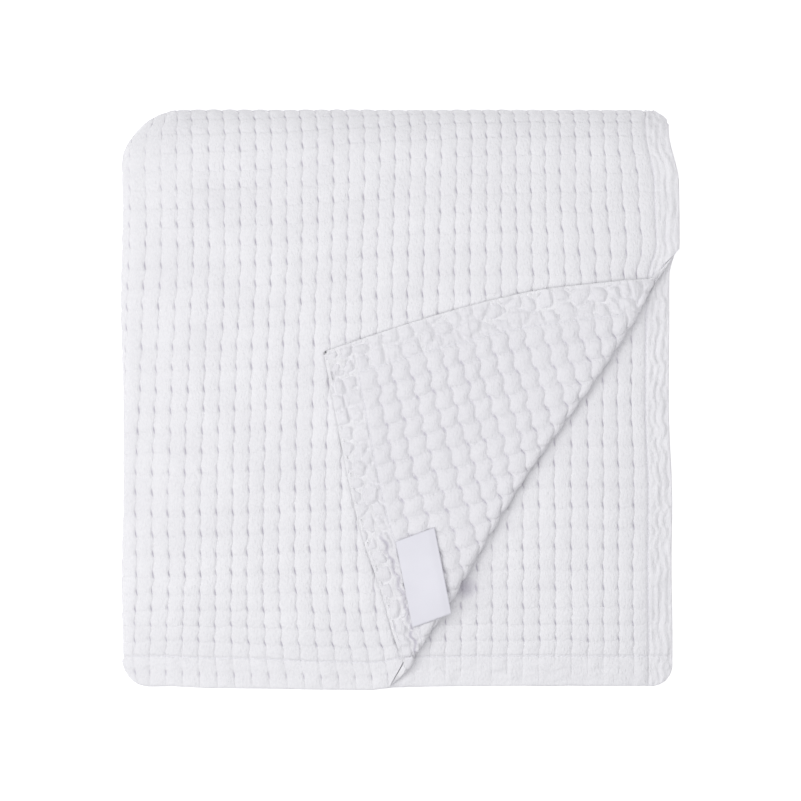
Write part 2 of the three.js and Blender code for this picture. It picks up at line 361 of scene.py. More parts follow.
# The grooves' and slits' depths are in millimetres, and the slits' widths and shift in cells.
OBVERSE = dict(
    groove=1.25, crease=0.60, round_p=0.46, round_q=0.36, slit=1.0, slit_p=0.050, slit_q=0.20, slit_up=0.08,
)
REVERSE = dict(
    groove=2.3, crease=0.80, round_p=0.62, round_q=0.55, slit=1.0, slit_p=0.068, slit_q=0.19, slit_up=0.0,
)


def waffle(p, q, face):
    """Height of the weave below its pillows' tops, and how deep in a slit the point is, from 0 to 1, which
    also sets the painted shade in the slit.
    """
    i, j = np.floor(p), np.floor(q)
    a, b = p - i, q - j
    swell = 1 + 0.10 * cell_noise(3, i, j)
    side = np.abs(np.sin(PI * a)) ** face["round_p"]
    end = np.abs(np.sin(PI * b)) ** face["round_q"]
    pillow = side * (1 - face["crease"] + face["crease"] * end) * swell
    i, j = np.round(p), np.round(q - face["slit_up"])
    strength = 0.95 + 0.2 * cell_noise(8, i, j)
    across_slit = (p - i) / face["slit_p"]
    along_slit = (q - face["slit_up"] - j) / face["slit_q"]
    slit = np.exp(-across_slit ** 2 - np.abs(along_slit) ** 3) * strength
    return face["groove"] * (pillow - 1) - face["slit"] * slit, np.clip(slit, 0, 1)


def bubbles(channel, u, v):
    """Crowded round swellings, about 1 across: 1 on each and 0 in the creases between them."""
    i, j = np.floor(u), np.floor(v)
    nearest = np.full(np.shape(u), 9.0)
    second = np.full(np.shape(u), 9.0)
    for step_i in (-1, 0, 1):
        for step_j in (-1, 0, 1):
            centre_u = i + step_i + 0.5 + 0.38 * cell_noise(channel, i + step_i, j + step_j)
            centre_v = j + step_j + 0.5 + 0.38 * cell_noise(channel + 1, i + step_i, j + step_j)
            gap = np.hypot(u - centre_u, v - centre_v)
            second = np.minimum(second, np.maximum(nearest, gap))
            nearest = np.minimum(nearest, gap)
    return np.sqrt(smooth((second - nearest) / 0.55))


HEM_GROOVE = 1.1
HEM_PUCKER = 0.5
ROW_SIZE = 13.0
COLUMN_SIZE = 10.2
SIDE_WAVE = 0.55
NEAR_WAVE = 0.25


def band(distance, place, channel, puff, wave_height):
    """Height of a hem band: distance outwards from its stitches, place along them."""
    ripple = np.sin(2 * PI * (place / 7.3 + 0.9 * soft_noise(channel, place / 16, 0)))
    ripple = ripple * (0.6 + 0.4 * soft_noise(channel, place / 23, 9))
    lump = 0.9 * soft_noise(channel, place / 8.5, distance / 7 + 20)
    wave = np.sin(2 * PI * (distance / 6.1 + 0.45 * soft_noise(channel, place / 8, 31)))
    tuck = HEM_PUCKER * (ripple - 0.3) * np.exp(-np.maximum(distance, 0) / 11)
    puffs = puff * (bubbles(10, place / 10.5, distance / 9.5 + 40) - 1)
    tuck = tuck + (lump + wave_height * wave + puffs) * smooth(distance / 3)
    edge = -0.4 * rise(distance, 10, 9)
    return tuck + edge


def stitch_groove(distance):
    return -HEM_GROOVE * bump(distance, 0, 0.95)


def strip_relief(p, q):
    """The folded cloth's relief: the weave, the hem bands and their stitched grooves."""
    weave, slit = waffle(p, q, OBVERSE)
    inside = in_cells(p, q)
    side_a = -p * STITCH_AT / SIDE_HEM_CELLS
    side_b = (p - 138) * STITCH_AT / SIDE_HEM_CELLS
    near_a = -q * STITCH_AT / NEAR_HEM_CELLS
    near_b = (q - 115) * STITCH_AT / NEAR_HEM_CELLS
    side = np.maximum(side_a, side_b)
    end = np.maximum(near_a, near_b)
    side_band = np.where(side > 0, band(side, q * ROW_SIZE, 9, 0.5, SIDE_WAVE), 0)
    bands = side_band + np.where(end > 0, band(end, p * COLUMN_SIZE, 8, 0.4, NEAR_WAVE), 0)
    faint = 0.62 * np.exp(-np.maximum(np.maximum(side, end), 0) / 14)
    through = 0.9 * smooth(1 - side) * smooth(-q) * fall(p, 35, 2)
    faint = np.maximum(faint, through)
    height = weave * (inside + (1 - inside) * faint) + bands * (1 - inside) * (1 - 0.6 * through)
    height = height + stitch_groove(side) + stitch_groove(end) * (1 - 0.65 * through)
    far_left = 0.35 * rise(p, 28, 5) * fall(p, 42, 4) * rise(q, 21, 4) * fall(q, 38, 4)
    calm = 1 - far_left
    # The second value is painted shade in the slits, for the cotton's colour.
    return height * calm, slit * np.maximum(inside, through) * calm


# ---- Building a closed slab on a grid of lines ----

FINE = (0, 0.035, 0.09, 0.2, 0.38, 0.62, 0.8, 0.91, 0.965)
FINE_ROWS = (0, 0.06, 0.13, 0.22, 0.38, 0.58, 0.76, 0.88, 0.95)
MEDIUM = (0, 0.06, 0.17, 0.5, 0.83, 0.94)
CORE_PLACES = (0, 0.2, 0.5, 0.8)
COARSE = (0,)
HEM_LINES = (0.02, 0.05, 0.1, 0.18, 0.27, 0.36, 0.44, 0.48, 0.51, 0.55, 0.63, 0.72, 0.81, 0.9, 0.96)
RIM_ANGLES = (28, 58, 90, 122, 152, 180)


def cell_lines(first, last, places):
    """Weave lines from the whole cell line first to last, at the given places in each cell."""
    return [cell + place for cell in range(first, last) for place in places]


def plain(values):
    """Lines that lie on the cloth's face: (weave line, millimetres pushed past the edge, w)."""
    return [(value, 0.0, 1.0) for value in values]


def rim(edge, way):
    """Lines that go round the cloth's edge from its fine face to its other face."""
    angles = np.radians(RIM_ANGLES)
    lines = [(edge, way * HALF * math.sin(angle), math.cos(angle)) for angle in angles]
    return lines if way > 0 else lines[::-1]


def hem_low(first, width):
    """The edge, rim and hem band before the whole cell line first."""
    band_lines = [first - width] + [first - width * part for part in HEM_LINES[::-1]]
    return rim(first - width, -1) + plain(band_lines)


def hem_high(last, width):
    """The hem band, edge and rim after the whole cell line last."""
    band_lines = [last] + [last + width * part for part in HEM_LINES] + [last + width]
    return plain(band_lines) + rim(last + width, 1)


def backing(lines, step, inset=0.12):
    """Coarser lines for the other face: whole and half cells, drawn in a little from a rim."""
    values = [line[0] for line in lines]
    low, high = min(values), max(values)
    inner = np.arange(math.floor(low) + step, high - 0.2 * step, step)
    inner = [value for value in inner if value > low + 0.2 * step]
    low_end = low + inset if lines[0][2] < 0 else low
    high_end = high - inset if lines[-1][2] < 0 else high
    return [low_end] + list(inner) + [high_end]


def wall_faces(fine_ids, fine_at, coarse_ids, coarse_at):
    """Joins a border of the fine face to a border of the coarse one, one polygon for each coarse edge."""
    faces = []
    begin = 0
    last = len(coarse_ids) - 1
    for k in range(last):
        if k == last - 1:
            end = len(fine_ids) - 1
        else:
            end = int(np.argmin(np.abs(fine_at - coarse_at[k + 1])))
        end = max(end, begin)
        ring = list(fine_ids[begin:end + 1]) + [coarse_ids[k + 1], coarse_ids[k]]
        faces.append(ring)
        begin = end
    return faces


def grid_faces(ids):
    """The quads of a grid of vertex numbers."""
    a, b, c, d = ids[:-1, :-1], ids[1:, :-1], ids[1:, 1:], ids[:-1, 1:]
    return np.stack([a, b, c, d], axis=-1).reshape(-1, 4).tolist()


def slab_mesh(name, p_lines, q_lines, p_back, q_back, plan):
    """A closed slab on flat cloth. Its vertices are (s, t, w), and p and q are kept as attributes."""
    p_all, push_p, w_p = np.array(p_lines).T
    q_all, push_q, w_q = np.array(q_lines).T
    p, q = np.meshgrid(p_all, q_all, indexing="ij")
    w = np.minimum(w_p[:, None], w_q[None, :])
    s, t = plan(p, q)
    s = s + push_p[:, None]
    t = t + push_q[None, :]
    back_p, back_q = np.meshgrid(p_back, q_back, indexing="ij")
    back_s, back_t = plan(back_p, back_q)
    count = p.size
    ids = np.arange(count).reshape(p.shape)
    back_ids = count + np.arange(back_p.size).reshape(back_p.shape)
    faces = grid_faces(ids) + [face[::-1] for face in grid_faces(back_ids)]
    shown = len(faces)
    p_back, q_back = np.array(p_back), np.array(q_back)
    faces += [ring[::-1] for ring in wall_faces(ids[:, 0], p_all, back_ids[:, 0], p_back)]
    faces += wall_faces(ids[:, -1], p_all, back_ids[:, -1], p_back)
    faces += wall_faces(ids[0, :], q_all, back_ids[0, :], q_back)
    faces += [ring[::-1] for ring in wall_faces(ids[-1, :], q_all, back_ids[-1, :], q_back)]
    s = np.concatenate([s.ravel(), back_s.ravel()])
    t = np.concatenate([t.ravel(), back_t.ravel()])
    w = np.concatenate([w.ravel(), -np.ones(back_p.size)])
    mesh = bpy.data.meshes.new(name)
    mesh.from_pydata(np.stack([s, t, w], axis=-1).tolist(), [], faces)
    for key, values in (("p", np.concatenate([p.ravel(), back_p.ravel()])),
                        ("q", np.concatenate([q.ravel(), back_q.ravel()]))):
        mesh.attributes.new(key, "FLOAT", "POINT").data.foreach_set("value", values)
    is_wall = np.zeros(len(faces), bool)
    is_wall[shown:] = True
    mesh.attributes.new("wall", "BOOLEAN", "FACE").data.foreach_set("value", is_wall)
    return mesh


def cut_mesh(mesh, point, normal):
    """Cuts a flat slab along an upright plane, drops what lies past it and closes the cut."""
    work = bmesh.new()
    work.from_mesh(mesh)
    geometry = list(work.verts) + list(work.edges) + list(work.faces)
    place, way = (point[0], point[1], 0), (normal[0], normal[1], 0)
    result = bmesh.ops.bisect_plane(
        work, geom=geometry, dist=1e-5, plane_co=place, plane_no=way, clear_outer=True
    )
    cut = result["geom_cut"]
    edges = [item for item in cut if isinstance(item, bmesh.types.BMEdge) and item.is_boundary]
    filled = bmesh.ops.edgeloop_fill(work, edges=edges)["faces"]
    wall = work.faces.layers.bool["wall"]
    for face in filled:
        face[wall] = True
    done = bmesh.ops.triangulate(work, faces=filled)
    for face in done["faces"]:
        face[wall] = True
    work.to_mesh(mesh)
    work.free()


def read_values(mesh, key):
    values = np.empty(len(mesh.vertices))
    mesh.attributes[key].data.foreach_get("value", values)
    return values


def read_points(mesh):
    points = np.empty(len(mesh.vertices) * 3)
    mesh.vertices.foreach_get("co", points)
    return points.reshape(-1, 3).T


def mark_walls(mesh):
    """Makes the edges of the hidden end walls sharp, so that they don't bend the shading of the faces."""
    wall = np.empty(len(mesh.polygons), bool)
    mesh.attributes["wall"].data.foreach_get("value", wall)
    totals = np.empty(len(mesh.polygons), int)
    mesh.polygons.foreach_get("loop_total", totals)
    edge_of = np.empty(len(mesh.loops), int)
    mesh.loops.foreach_get("edge_index", edge_of)
    sharp = np.zeros(len(mesh.edges), bool)
    sharp[edge_of[np.repeat(wall, totals)]] = True
    mesh.attributes.new("sharp_edge", "BOOLEAN", "EDGE").data.foreach_set("value", sharp)
    mesh.attributes.remove(mesh.attributes["wall"])


def face_outwards(mesh):
    """Turns a closed mesh whose faces point inwards."""
    mesh.calc_loop_triangles()
    corners = np.empty(len(mesh.loop_triangles) * 3, int)
    mesh.loop_triangles.foreach_get("vertices", corners)
    points = read_points(mesh).T[corners].reshape(-1, 3, 3)
    volume = np.einsum("ij,ij->i", points[:, 0], np.cross(points[:, 1], points[:, 2])).sum()
    if volume < 0:
        mesh.flip_normals()


def add_piece(name, mesh, points, slit, material):
    """Puts a slab's flat mesh in its place and makes it an object."""
    mesh.vertices.foreach_set("co", (np.stack(points, axis=-1) * MM).astype(np.float32).ravel())
    for key in ("p", "q"):
        if key in mesh.attributes:
            mesh.attributes.remove(mesh.attributes[key])
    if slit is not None:
        # The slit values are painted shade, stored as an attribute for the cotton's colour.
        mesh.attributes.new("slit", "FLOAT", "POINT").data.foreach_set("value", slit)
    if "wall" in mesh.attributes:
        mark_walls(mesh)
    mesh.update()
    face_outwards(mesh)
    mesh.shade_smooth()
    mesh.materials.append(material)
    piece = bpy.data.objects.new(name, mesh)
    bpy.context.scene.collection.objects.link(piece)
    return piece


# ---- Materials ----

COTTON_SHADES = ((0.3, (0.835, 0.828, 0.850)), (0.7, (0.870, 0.864, 0.884)))
SATIN_SHADES = ((0.3, (0.745, 0.738, 0.795)), (0.7, (0.770, 0.762, 0.818)))
# Painted shade: the colour mixed into the cotton where the slit attribute is high. It stands for shade in
# the slits, the gathers and the hollow, and over the flap's upper face.
SLIT_PAINTED_SHADE = (0.60, 0.58, 0.64)


def new_material(name):
    material = bpy.data.materials.new(name)
    material.use_nodes = True
    tree = material.node_tree
    return material, tree, tree.nodes["Principled BSDF"]


def set_values(shader, values):
    """Sets uniform values on the shader's own sockets."""
    for socket, value in values.items():
        shader.inputs[socket].default_value = value


def noise_node(tree, scale, detail, stretch=(1, 1, 1)):
    """A noise pattern fixed to the object, with its features stretched along the axes."""
    place = tree.nodes.new("ShaderNodeTexCoord")
    size = tree.nodes.new("ShaderNodeMapping")
    size.inputs["Scale"].default_value = stretch
    noise = tree.nodes.new("ShaderNodeTexNoise")
    noise.inputs["Scale"].default_value = scale
    noise.inputs["Detail"].default_value = detail
    tree.links.new(place.outputs["Object"], size.inputs["Vector"])
    tree.links.new(size.outputs["Vector"], noise.inputs["Vector"])
    return noise.outputs["Fac"]


def ramp_node(tree, source, stops):
    """A colour ramp from (position, colour) pairs."""
    ramp = tree.nodes.new("ShaderNodeValToRGB")
    elements = ramp.color_ramp.elements
    while len(elements) < len(stops):
        elements.new(0.5)
    for element, (position, colour) in zip(elements, stops):
        element.position = position
        element.color = (*colour, 1)
    tree.links.new(source, ramp.inputs["Fac"])
    return ramp.outputs["Color"]


def mix_node(tree, factor, first, second, mode="MIX"):
    mix = tree.nodes.new("ShaderNodeMix")
    mix.data_type = "RGBA"
    mix.blend_type = mode
    if isinstance(factor, float):
        mix.inputs["Factor"].default_value = factor
    else:
        tree.links.new(factor, mix.inputs["Factor"])
    tree.links.new(first, mix.inputs["A"])
    if isinstance(second, tuple):
        mix.inputs["B"].default_value = (*second, 1)
    else:
        tree.links.new(second, mix.inputs["B"])
    return mix.outputs["Result"]


def bump_node(tree, height, distance, strength, below=None):
    node = tree.nodes.new("ShaderNodeBump")
    node.inputs["Distance"].default_value = distance
    node.inputs["Strength"].default_value = strength
    tree.links.new(height, node.inputs["Height"])
    if below is not None:
        tree.links.new(below, node.inputs["Normal"])
    return node.outputs["Normal"]


def cotton_material():
    """Soft white waffle cotton: yarn lines, loose fuzz, faint changes of tone, and painted shade mixed in
    where the slit attribute is high.
    """
    material, tree, shader = new_material("waffle_cotton")
    yarn = noise_node(tree, 1300, 2, (1, 0.4, 0.7))
    fuzz = noise_node(tree, 2600, 3)
    cloud = noise_node(tree, 38, 3)
    tint = ramp_node(tree, cloud, COTTON_SHADES)
    thread = ramp_node(tree, yarn, ((0.32, (0.86, 0.86, 0.88)), (0.62, (1.0, 1.0, 1.0))))
    colour = mix_node(tree, 0.35, tint, thread, "MULTIPLY")
    # The slit attribute holds painted shade from 0 to 1, and this ramp sets how much of the painted shade
    # colour goes in.
    slit = tree.nodes.new("ShaderNodeAttribute")
    slit.attribute_name = "slit"
    painted_shade = ramp_node(tree, slit.outputs["Fac"], ((0.25, (0, 0, 0)), (0.85, (1, 1, 1))))
    colour = mix_node(tree, painted_shade, colour, SLIT_PAINTED_SHADE)
    tree.links.new(colour, shader.inputs["Base Color"])
    set_values(shader, {"Roughness": 0.92, "Specular IOR Level": 0.15})
    set_values(shader, {"Sheen Weight": 0.25, "Sheen Roughness": 0.6})
    nap = noise_node(tree, 620, 3, (1, 0.6, 1))
    relief = bump_node(tree, nap, 0.0014, 0.55)
    relief = bump_node(tree, yarn, 0.0006, 0.5, relief)
    relief = bump_node(tree, fuzz, 0.0003, 0.45, relief)
    tree.links.new(relief, shader.inputs["Normal"])
    return material


def satin_material():
    """White satin ribbon with a fine warp."""
    material, tree, shader = new_material("satin_label")
    warp = noise_node(tree, 2200, 2, (1, 0.08, 1))
    cloud = noise_node(tree, 60, 2)
    tint = ramp_node(tree, cloud, SATIN_SHADES)
    tree.links.new(tint, shader.inputs["Base Color"])
    set_values(shader, {"Roughness": 0.6, "Specular IOR Level": 0.25})
    set_values(shader, {"Anisotropic": 0.4, "Sheen Weight": 0.1})
    tree.links.new(bump_node(tree, warp, 0.0002, 0.4), shader.inputs["Normal"])
    return material


def thread_material():
    """Spun white sewing thread."""
    material, tree, shader = new_material("sewing_thread")
    twist = noise_node(tree, 5200, 2, (1, 1, 0.4))
    tint = ramp_node(tree, twist, ((0.3, (0.74, 0.73, 0.78)), (0.7, (0.88, 0.88, 0.90))))
    tree.links.new(tint, shader.inputs["Base Color"])
    set_values(shader, {"Roughness": 0.6, "Sheen Weight": 0.2})
    tree.links.new(bump_node(tree, twist, 0.0002, 0.6), shader.inputs["Normal"])
    return material


COTTON = cotton_material()
SATIN = satin_material()
THREAD = thread_material()


# ---- The camera, the lights and the floor ----

VIEW_WIDTH = 0.5287
VIEW_HEIGHT = 0.070
CAMERA_DISTANCE = 2.6
VIEW_CENTRE = (0.0, -0.001)
SENSOR = 36.0


def add_camera():
    """Straight above the throw, with a long lens."""
    data = bpy.data.cameras.new("camera")
    data.sensor_width = SENSOR
    data.lens = SENSOR * CAMERA_DISTANCE / VIEW_WIDTH
    camera = bpy.data.objects.new("camera", data)
    camera.location = (*VIEW_CENTRE, VIEW_HEIGHT + CAMERA_DISTANCE)
    bpy.context.scene.collection.objects.link(camera)
    bpy.context.scene.camera = camera


def add_area(name, place, size, power):
    """A square soft light that faces the throw."""
    data = bpy.data.lights.new(name, "AREA")
    data.size = size
    data.energy = power
    lamp = bpy.data.objects.new(name, data)
    lamp.location = place
    reach = math.hypot(place[0], place[1])
    lamp.rotation_euler = (math.atan2(reach, place[2]), 0, math.atan2(place[0], -place[1]))
    bpy.context.scene.collection.objects.link(lamp)


def add_floor():
    """A plain near-white floor that glows a little, so that it stays paler than the throw."""
    mesh = bpy.data.meshes.new("floor")
    reach = 8.0
    corners = [(-reach, -reach, 0), (reach, -reach, 0), (reach, reach, 0), (-reach, reach, 0)]
    mesh.from_pydata(corners, [], [(0, 1, 2, 3)])
    material, tree, shader = new_material("floor")
    set_values(shader, {"Base Color": (0.85, 0.85, 0.85, 1), "Roughness": 1.0, "Specular IOR Level": 0.0})
    set_values(shader, {"Emission Color": (1, 1, 1, 1), "Emission Strength": 0.50})
    mesh.materials.append(material)
    floor = bpy.data.objects.new("floor", mesh)
    bpy.context.scene.collection.objects.link(floor)


def add_world():
    world = bpy.data.worlds.new("studio")
    world.use_nodes = True
    background = world.node_tree.nodes["Background"]
    background.inputs["Color"].default_value = (0.965, 0.97, 1.0, 1)
    background.inputs["Strength"].default_value = 0.43
    bpy.context.scene.world = world
    bpy.context.scene.view_settings.view_transform = "Standard"


add_camera()
add_world()
add_floor()
add_area("overhead", (-0.12, 0.15, 1.7), 1.7, 16.3)
add_area("key", (-1.3, -0.3, 1.35), 1.2, 8.5)


# ---- The turned corner: its fold, and how the cloth lies there ----

FOLD_HINGE, FOLD_AXIS = joint("corner_turn")
HINGE_CLEARANCE = 5.5
ALONG_FOLD = FOLD_AXIS[:2]
PAST_FOLD = np.array([ALONG_FOLD[1], -ALONG_FOLD[0]])
FOLD_LEVEL = FOLD_HINGE[:2] @ PAST_FOLD - HINGE_CLEARANCE
FOLD_START = PAST_FOLD * FOLD_LEVEL + ALONG_FOLD * ((NEAR - PAST_FOLD[1] * FOLD_LEVEL) / ALONG_FOLD[1])
FOLD_LENGTH = (RIGHT - FOLD_START[0]) / ALONG_FOLD[0]
FOLD_END = FOLD_START + ALONG_FOLD * FOLD_LENGTH
FLAP_TIP = np.array([-48.5, 29.7])
TIP_TO_SIDE = (FOLD_END - FLAP_TIP) / np.linalg.norm(FOLD_END - FLAP_TIP)
TIP_TO_NEAR = (FOLD_START - FLAP_TIP) / np.linalg.norm(FOLD_START - FLAP_TIP)
SIDE_REACH = np.linalg.norm(FOLD_END - FLAP_TIP)
TOP_MIDDLE = STACK - HALF
FLAP_MIDDLE = node_box("corner_flap")[0][2] + HALF
BEND_LINE = -12.0
BEND_LENGTH = 5 * PI
BOW = 4.2
BOW_AT = 160
FAR_END_PULL = 1.4
LAST_PULL = 2.6
NEAR_END_PULL = 3.2
CAVE_AT = 78
CAVE_LIFT = 1.6


def past(x, y):
    """How far a plan point lies past the straight fold outline, and how far along it."""
    dx, dy = x - FOLD_START[0], y - FOLD_START[1]
    return dx * PAST_FOLD[0] + dy * PAST_FOLD[1], dx * ALONG_FOLD[0] + dy * ALONG_FOLD[1]


def bend_radius(run):
    """The fold's radius: small at its two ends and puffy between them."""
    ends = np.minimum(run, FOLD_LENGTH - run)
    return 2.4 + 0.9 * smooth(ends / 45) + 0.7 * bump(run, CAVE_AT, 20)


def fold_shift(run):
    """How far the middle of the bend lies from its straight line."""
    bow = BOW * bump(run, BOW_AT, 75) + FAR_END_PULL * rise(run, 280, 40) + LAST_PULL * rise(run, 302, 24)
    bow = bow - NEAR_END_PULL * (1 - smooth(run / 40))
    return -(bow + bend_radius(run) + HALF) - BEND_LINE


def fold_lift(run, distance):
    """The cave under the fold, where both plies stand off the layer below."""
    return CAVE_LIFT * bump(run, CAVE_AT, 13) * (1 - smooth(distance / 30))


def slide(pull, x, y):
    """How far the cloth slides along the fold, so that its edges stay straight where the fold pulls it."""
    near = PAST_FOLD[1] / ALONG_FOLD[1] * (1 - rise(y, NEAR, 50))
    right = PAST_FOLD[0] / ALONG_FOLD[0] * (1 - fall(x, RIGHT, 40))
    return -pull * (near + right)


def pull_to_fold(x, y):
    """Draws the cloth beside the fold to the fold's bowed line."""
    delta, run = past(x, y)
    distance = np.maximum(BEND_LINE - delta, 0)
    pull = fold_shift(run) * (1 - smooth(distance / 115)) * (1 - rise(y, 104, 30))
    along_it = slide(pull, x, y)
    x_moved = x + PAST_FOLD[0] * pull + ALONG_FOLD[0] * along_it
    y_moved = y + PAST_FOLD[1] * pull + ALONG_FOLD[1] * along_it
    return x_moved, y_moved, distance, run


# ---- Strip pieces ----

# The hollow under the fold: a dent in the layer below, and painted shadow in it where the fold shades it.
HOLLOW = (43.0, -125.0)
HOLLOW_DEPTH = 2.4
HOLLOW_PAINTED_SHADOW = 0.8


def folded(s, t, off, corner):
    """Where a point of the cloth lies in the stack, off millimetres out from mid-cloth."""
    x, h = across(s, off)
    y, z = along(t, h)
    if corner:
        x, y, distance, run = pull_to_fold(x, y)
        z = z + fold_lift(run, distance)
    return settle(x, y, z)


def strip_points(mesh, face=1, shown=None, corner=False):
    """Folds a flat slab into the stack. face is 1 where its fine side is the cloth's outer side."""
    s, t, w = read_points(mesh)
    p, q = read_values(mesh, "p"), read_values(mesh, "q")
    relief, slit = strip_relief(p, q)
    show = np.ones_like(p) if shown is None else shown(p, q)
    show = show * np.clip(w, 0, 1) ** 2
    if face < 0:
        beside = bump(RIGHT - HALF - (ACROSS_STOPS[7] - s), HOLLOW[0], 8.5)
        hollow = beside * bump(t + NEAR + HALF, HOLLOW[1], 8.0)
        relief = relief - HOLLOW_DEPTH * hollow
        # Painted shadow in the hollow, put into the slit attribute.
        slit = np.maximum(slit, HOLLOW_PAINTED_SHADOW * hollow)
    return folded(s, t, face * (w * HALF + relief * show), corner), slit * show


def strip_piece(name, p_lines, q_lines, face=1, shown=None, cut=None):
    """One piece of the folded cloth, between weave lines."""
    p_back, q_back = backing(p_lines, 0.5), backing(q_lines, 0.5)
    mesh = slab_mesh(name, p_lines, q_lines, p_back, q_back, layout)
    if cut is not None:
        cut_mesh(mesh, *cut)
    points, slit = strip_points(mesh, face, shown, cut is not None)
    return add_piece(name, mesh, points, slit, COTTON)


def rows(first, last, places):
    return plain(cell_lines(first, last, places) + [last])


SIDE_HEM = hem_low(0, SIDE_HEM_CELLS)[:-1]
PLY_A = SIDE_HEM + rows(0, 35, FINE)
PLY_A_PLAIN = SIDE_HEM + rows(0, 35, MEDIUM)
NEAR_HEM_UP = hem_low(0, NEAR_HEM_CELLS)[:-1]
FAR_HEM_UP = hem_high(115, NEAR_HEM_CELLS)
CORE_CELLS = cell_lines(35, 37, MEDIUM) + cell_lines(37, 66, COARSE) + cell_lines(66, 73, MEDIUM)
CORE_CELLS += cell_lines(73, 104, COARSE) + cell_lines(104, 105, MEDIUM)
CORE = plain(CORE_CELLS + [105])
LAST_CELLS = cell_lines(105, 136, COARSE) + cell_lines(136, 138, MEDIUM)
LAST_HEM = hem_high(138, SIDE_HEM_CELLS)
CORE_AND_HEM = plain(CORE_CELLS + LAST_CELLS) + LAST_HEM
ROLL_ACROSS = PLY_A[:-1] + CORE_AND_HEM


def edges_shown(p, q):
    """Relief only where the inner plies can be seen: at their turns and at their hems."""
    turns = rise(p, 65, 2) * fall(p, 74, 2)
    hems = rise(p, 135, 2)
    ends = fall(q, 2.5, 1.5) + rise(q, 112.5, 1.5)
    return np.maximum(np.maximum(turns, hems), np.maximum(ends, fall(p, 37, 2)))


def corner_shown(p, q):
    """The second layer's relief, under the turned corner and at its hems."""
    corner = rise(p, 118, 2) * fall(q, 21, 2)
    return np.maximum(corner, edges_shown(p, q))


def top_cut():
    """The turned corner's line on the flat cloth: a point on it and the way past it."""
    point = FOLD_START + PAST_FOLD * BEND_LINE
    return (RIGHT - HALF - point[0], point[1] - NEAR - HALF), (-PAST_FOLD[0], PAST_FOLD[1])


top_panel = strip_piece("top_panel", PLY_A, NEAR_HEM_UP + rows(0, 25, FINE_ROWS), cut=top_cut())
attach(top_panel, "upper_half")
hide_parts("layer_01", "bottom_hem_01", "side_hem_01")

under_columns = plain(cell_lines(105, 120, COARSE) + cell_lines(120, 138, FINE)) + LAST_HEM
under_rows = NEAR_HEM_UP + rows(0, 20, FINE_ROWS)[:-1] + rows(20, 25, MEDIUM)
under_panel = strip_piece("under_panel", under_columns, under_rows, face=-1, shown=corner_shown)
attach(under_panel, "upper_half")
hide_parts("layer_02", "bottom_hem_02", "side_hem_02")

upper_core = strip_piece("upper_core", CORE, NEAR_HEM_UP + rows(0, 25, MEDIUM), shown=edges_shown)
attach(upper_core, "upper_half")
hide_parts("layer_03", "layer_04", "bottom_hem_03", "bottom_hem_04")

outer_roll = strip_piece("far_outer_roll", ROLL_ACROSS, rows(25, 34, FINE_ROWS), shown=edges_shown)
outer_nodes = ["top_edge_roll_01_16", "top_edge_roll_02_15", "top_edge_roll_03_14", "top_edge_roll_04_13"]
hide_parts(*outer_nodes)

base_panel = strip_piece("base_panel", PLY_A_PLAIN, rows(34, 86, MEDIUM))
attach(base_panel, "lower_half")
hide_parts("layer_09", "layer_16", "side_hem_09", "side_hem_16", "bottom_edge_roll_09_16")

lower_core = strip_piece("lower_core", CORE_AND_HEM, rows(34, 86, CORE_PLACES), shown=edges_shown)
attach(lower_core, "lower_half")
lower_nodes = ["layer_%02d" % number for number in (10, 11, 12, 13, 14, 15)] + ["side_hem_10", "side_hem_15"]
lower_nodes += ["bottom_edge_roll_10_15", "bottom_edge_roll_11_14", "bottom_edge_roll_12_13"]
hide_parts(*lower_nodes)

INNER_ROWS = plain(list(np.linspace(*INNER_ROLL, 33)))


def add_inner_roll():
    p_back, q_back = backing(ROLL_ACROSS, 1), backing(INNER_ROWS, 0.25)
    mesh = slab_mesh("far_inner_roll", ROLL_ACROSS, INNER_ROWS, p_back, q_back, inner_roll_layout)
    s, t, w = read_points(mesh)
    p, q = read_values(mesh, "p"), read_values(mesh, "q")
    relief, slit = strip_relief(p, q)
    show = edges_shown(p, q) * np.clip(w, 0, 1) ** 2
    x, h = across(s, w * HALF)
    y, z = along(t, h)
    ends = (q <= INNER_ROLL[0]) | (q >= INNER_ROLL[1])
    drop = relief * show
    y = y - np.where(ends | (h < STRIP - CLOTH), 0, drop + 1)
    z = z + np.where(ends, np.where(z < MIDDLE, drop, -drop), 0)
    return add_piece("far_inner_roll", mesh, settle(x, y, z), slit * show, COTTON)


inner_roll = add_inner_roll()
inner_nodes = ["top_edge_roll_05_12", "top_edge_roll_06_11", "top_edge_roll_07_10", "top_edge_roll_08_09"]
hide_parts(*inner_nodes)

inner_panel = strip_piece("inner_panel", PLY_A_PLAIN, plain(cell_lines(90, 115, MEDIUM)) + FAR_HEM_UP)
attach(inner_panel, "upper_half")
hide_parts("layer_08", "bottom_hem_08", "side_hem_08")

middle_rows = plain(cell_lines(90, 115, CORE_PLACES)) + FAR_HEM_UP
middle_core = strip_piece("middle_core", CORE_AND_HEM, middle_rows, shown=edges_shown)
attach(middle_core, "upper_half")
middle_nodes = ["layer_05", "layer_06", "layer_07"]
middle_nodes += ["bottom_hem_05", "bottom_hem_06", "bottom_hem_07", "side_hem_07"]
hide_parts(*middle_nodes)

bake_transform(outer_roll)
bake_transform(inner_roll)


# ---- The turned corner ----

FLAP_COLUMN = 11.2
FLAP_ROW = 12.4
FLAP_PLACES = (0, 0.05, 0.1, 0.18, 0.28, 0.4, 0.52, 0.64, 0.75, 0.85, 0.93)
FLAP_SIZE = (22, 19)
FLAP_PUFF = 2.5
# Painted shade laid over the whole upper face of the flap, darkening it against the rest of the throw.
FLAP_PAINTED_SHADE = 0.34
FLAP_ZIGZAG = 1.1
GATHER_FROM = 98
GATHER_WAVE = 1.3
GATHER_WAVELENGTH = 10.5
GATHER_AT = 6.5
GATHER_WIDTH = 1.6
GATHER_DEPTH = 1.7
GATHER_PAINTED_SHADE = 0.95


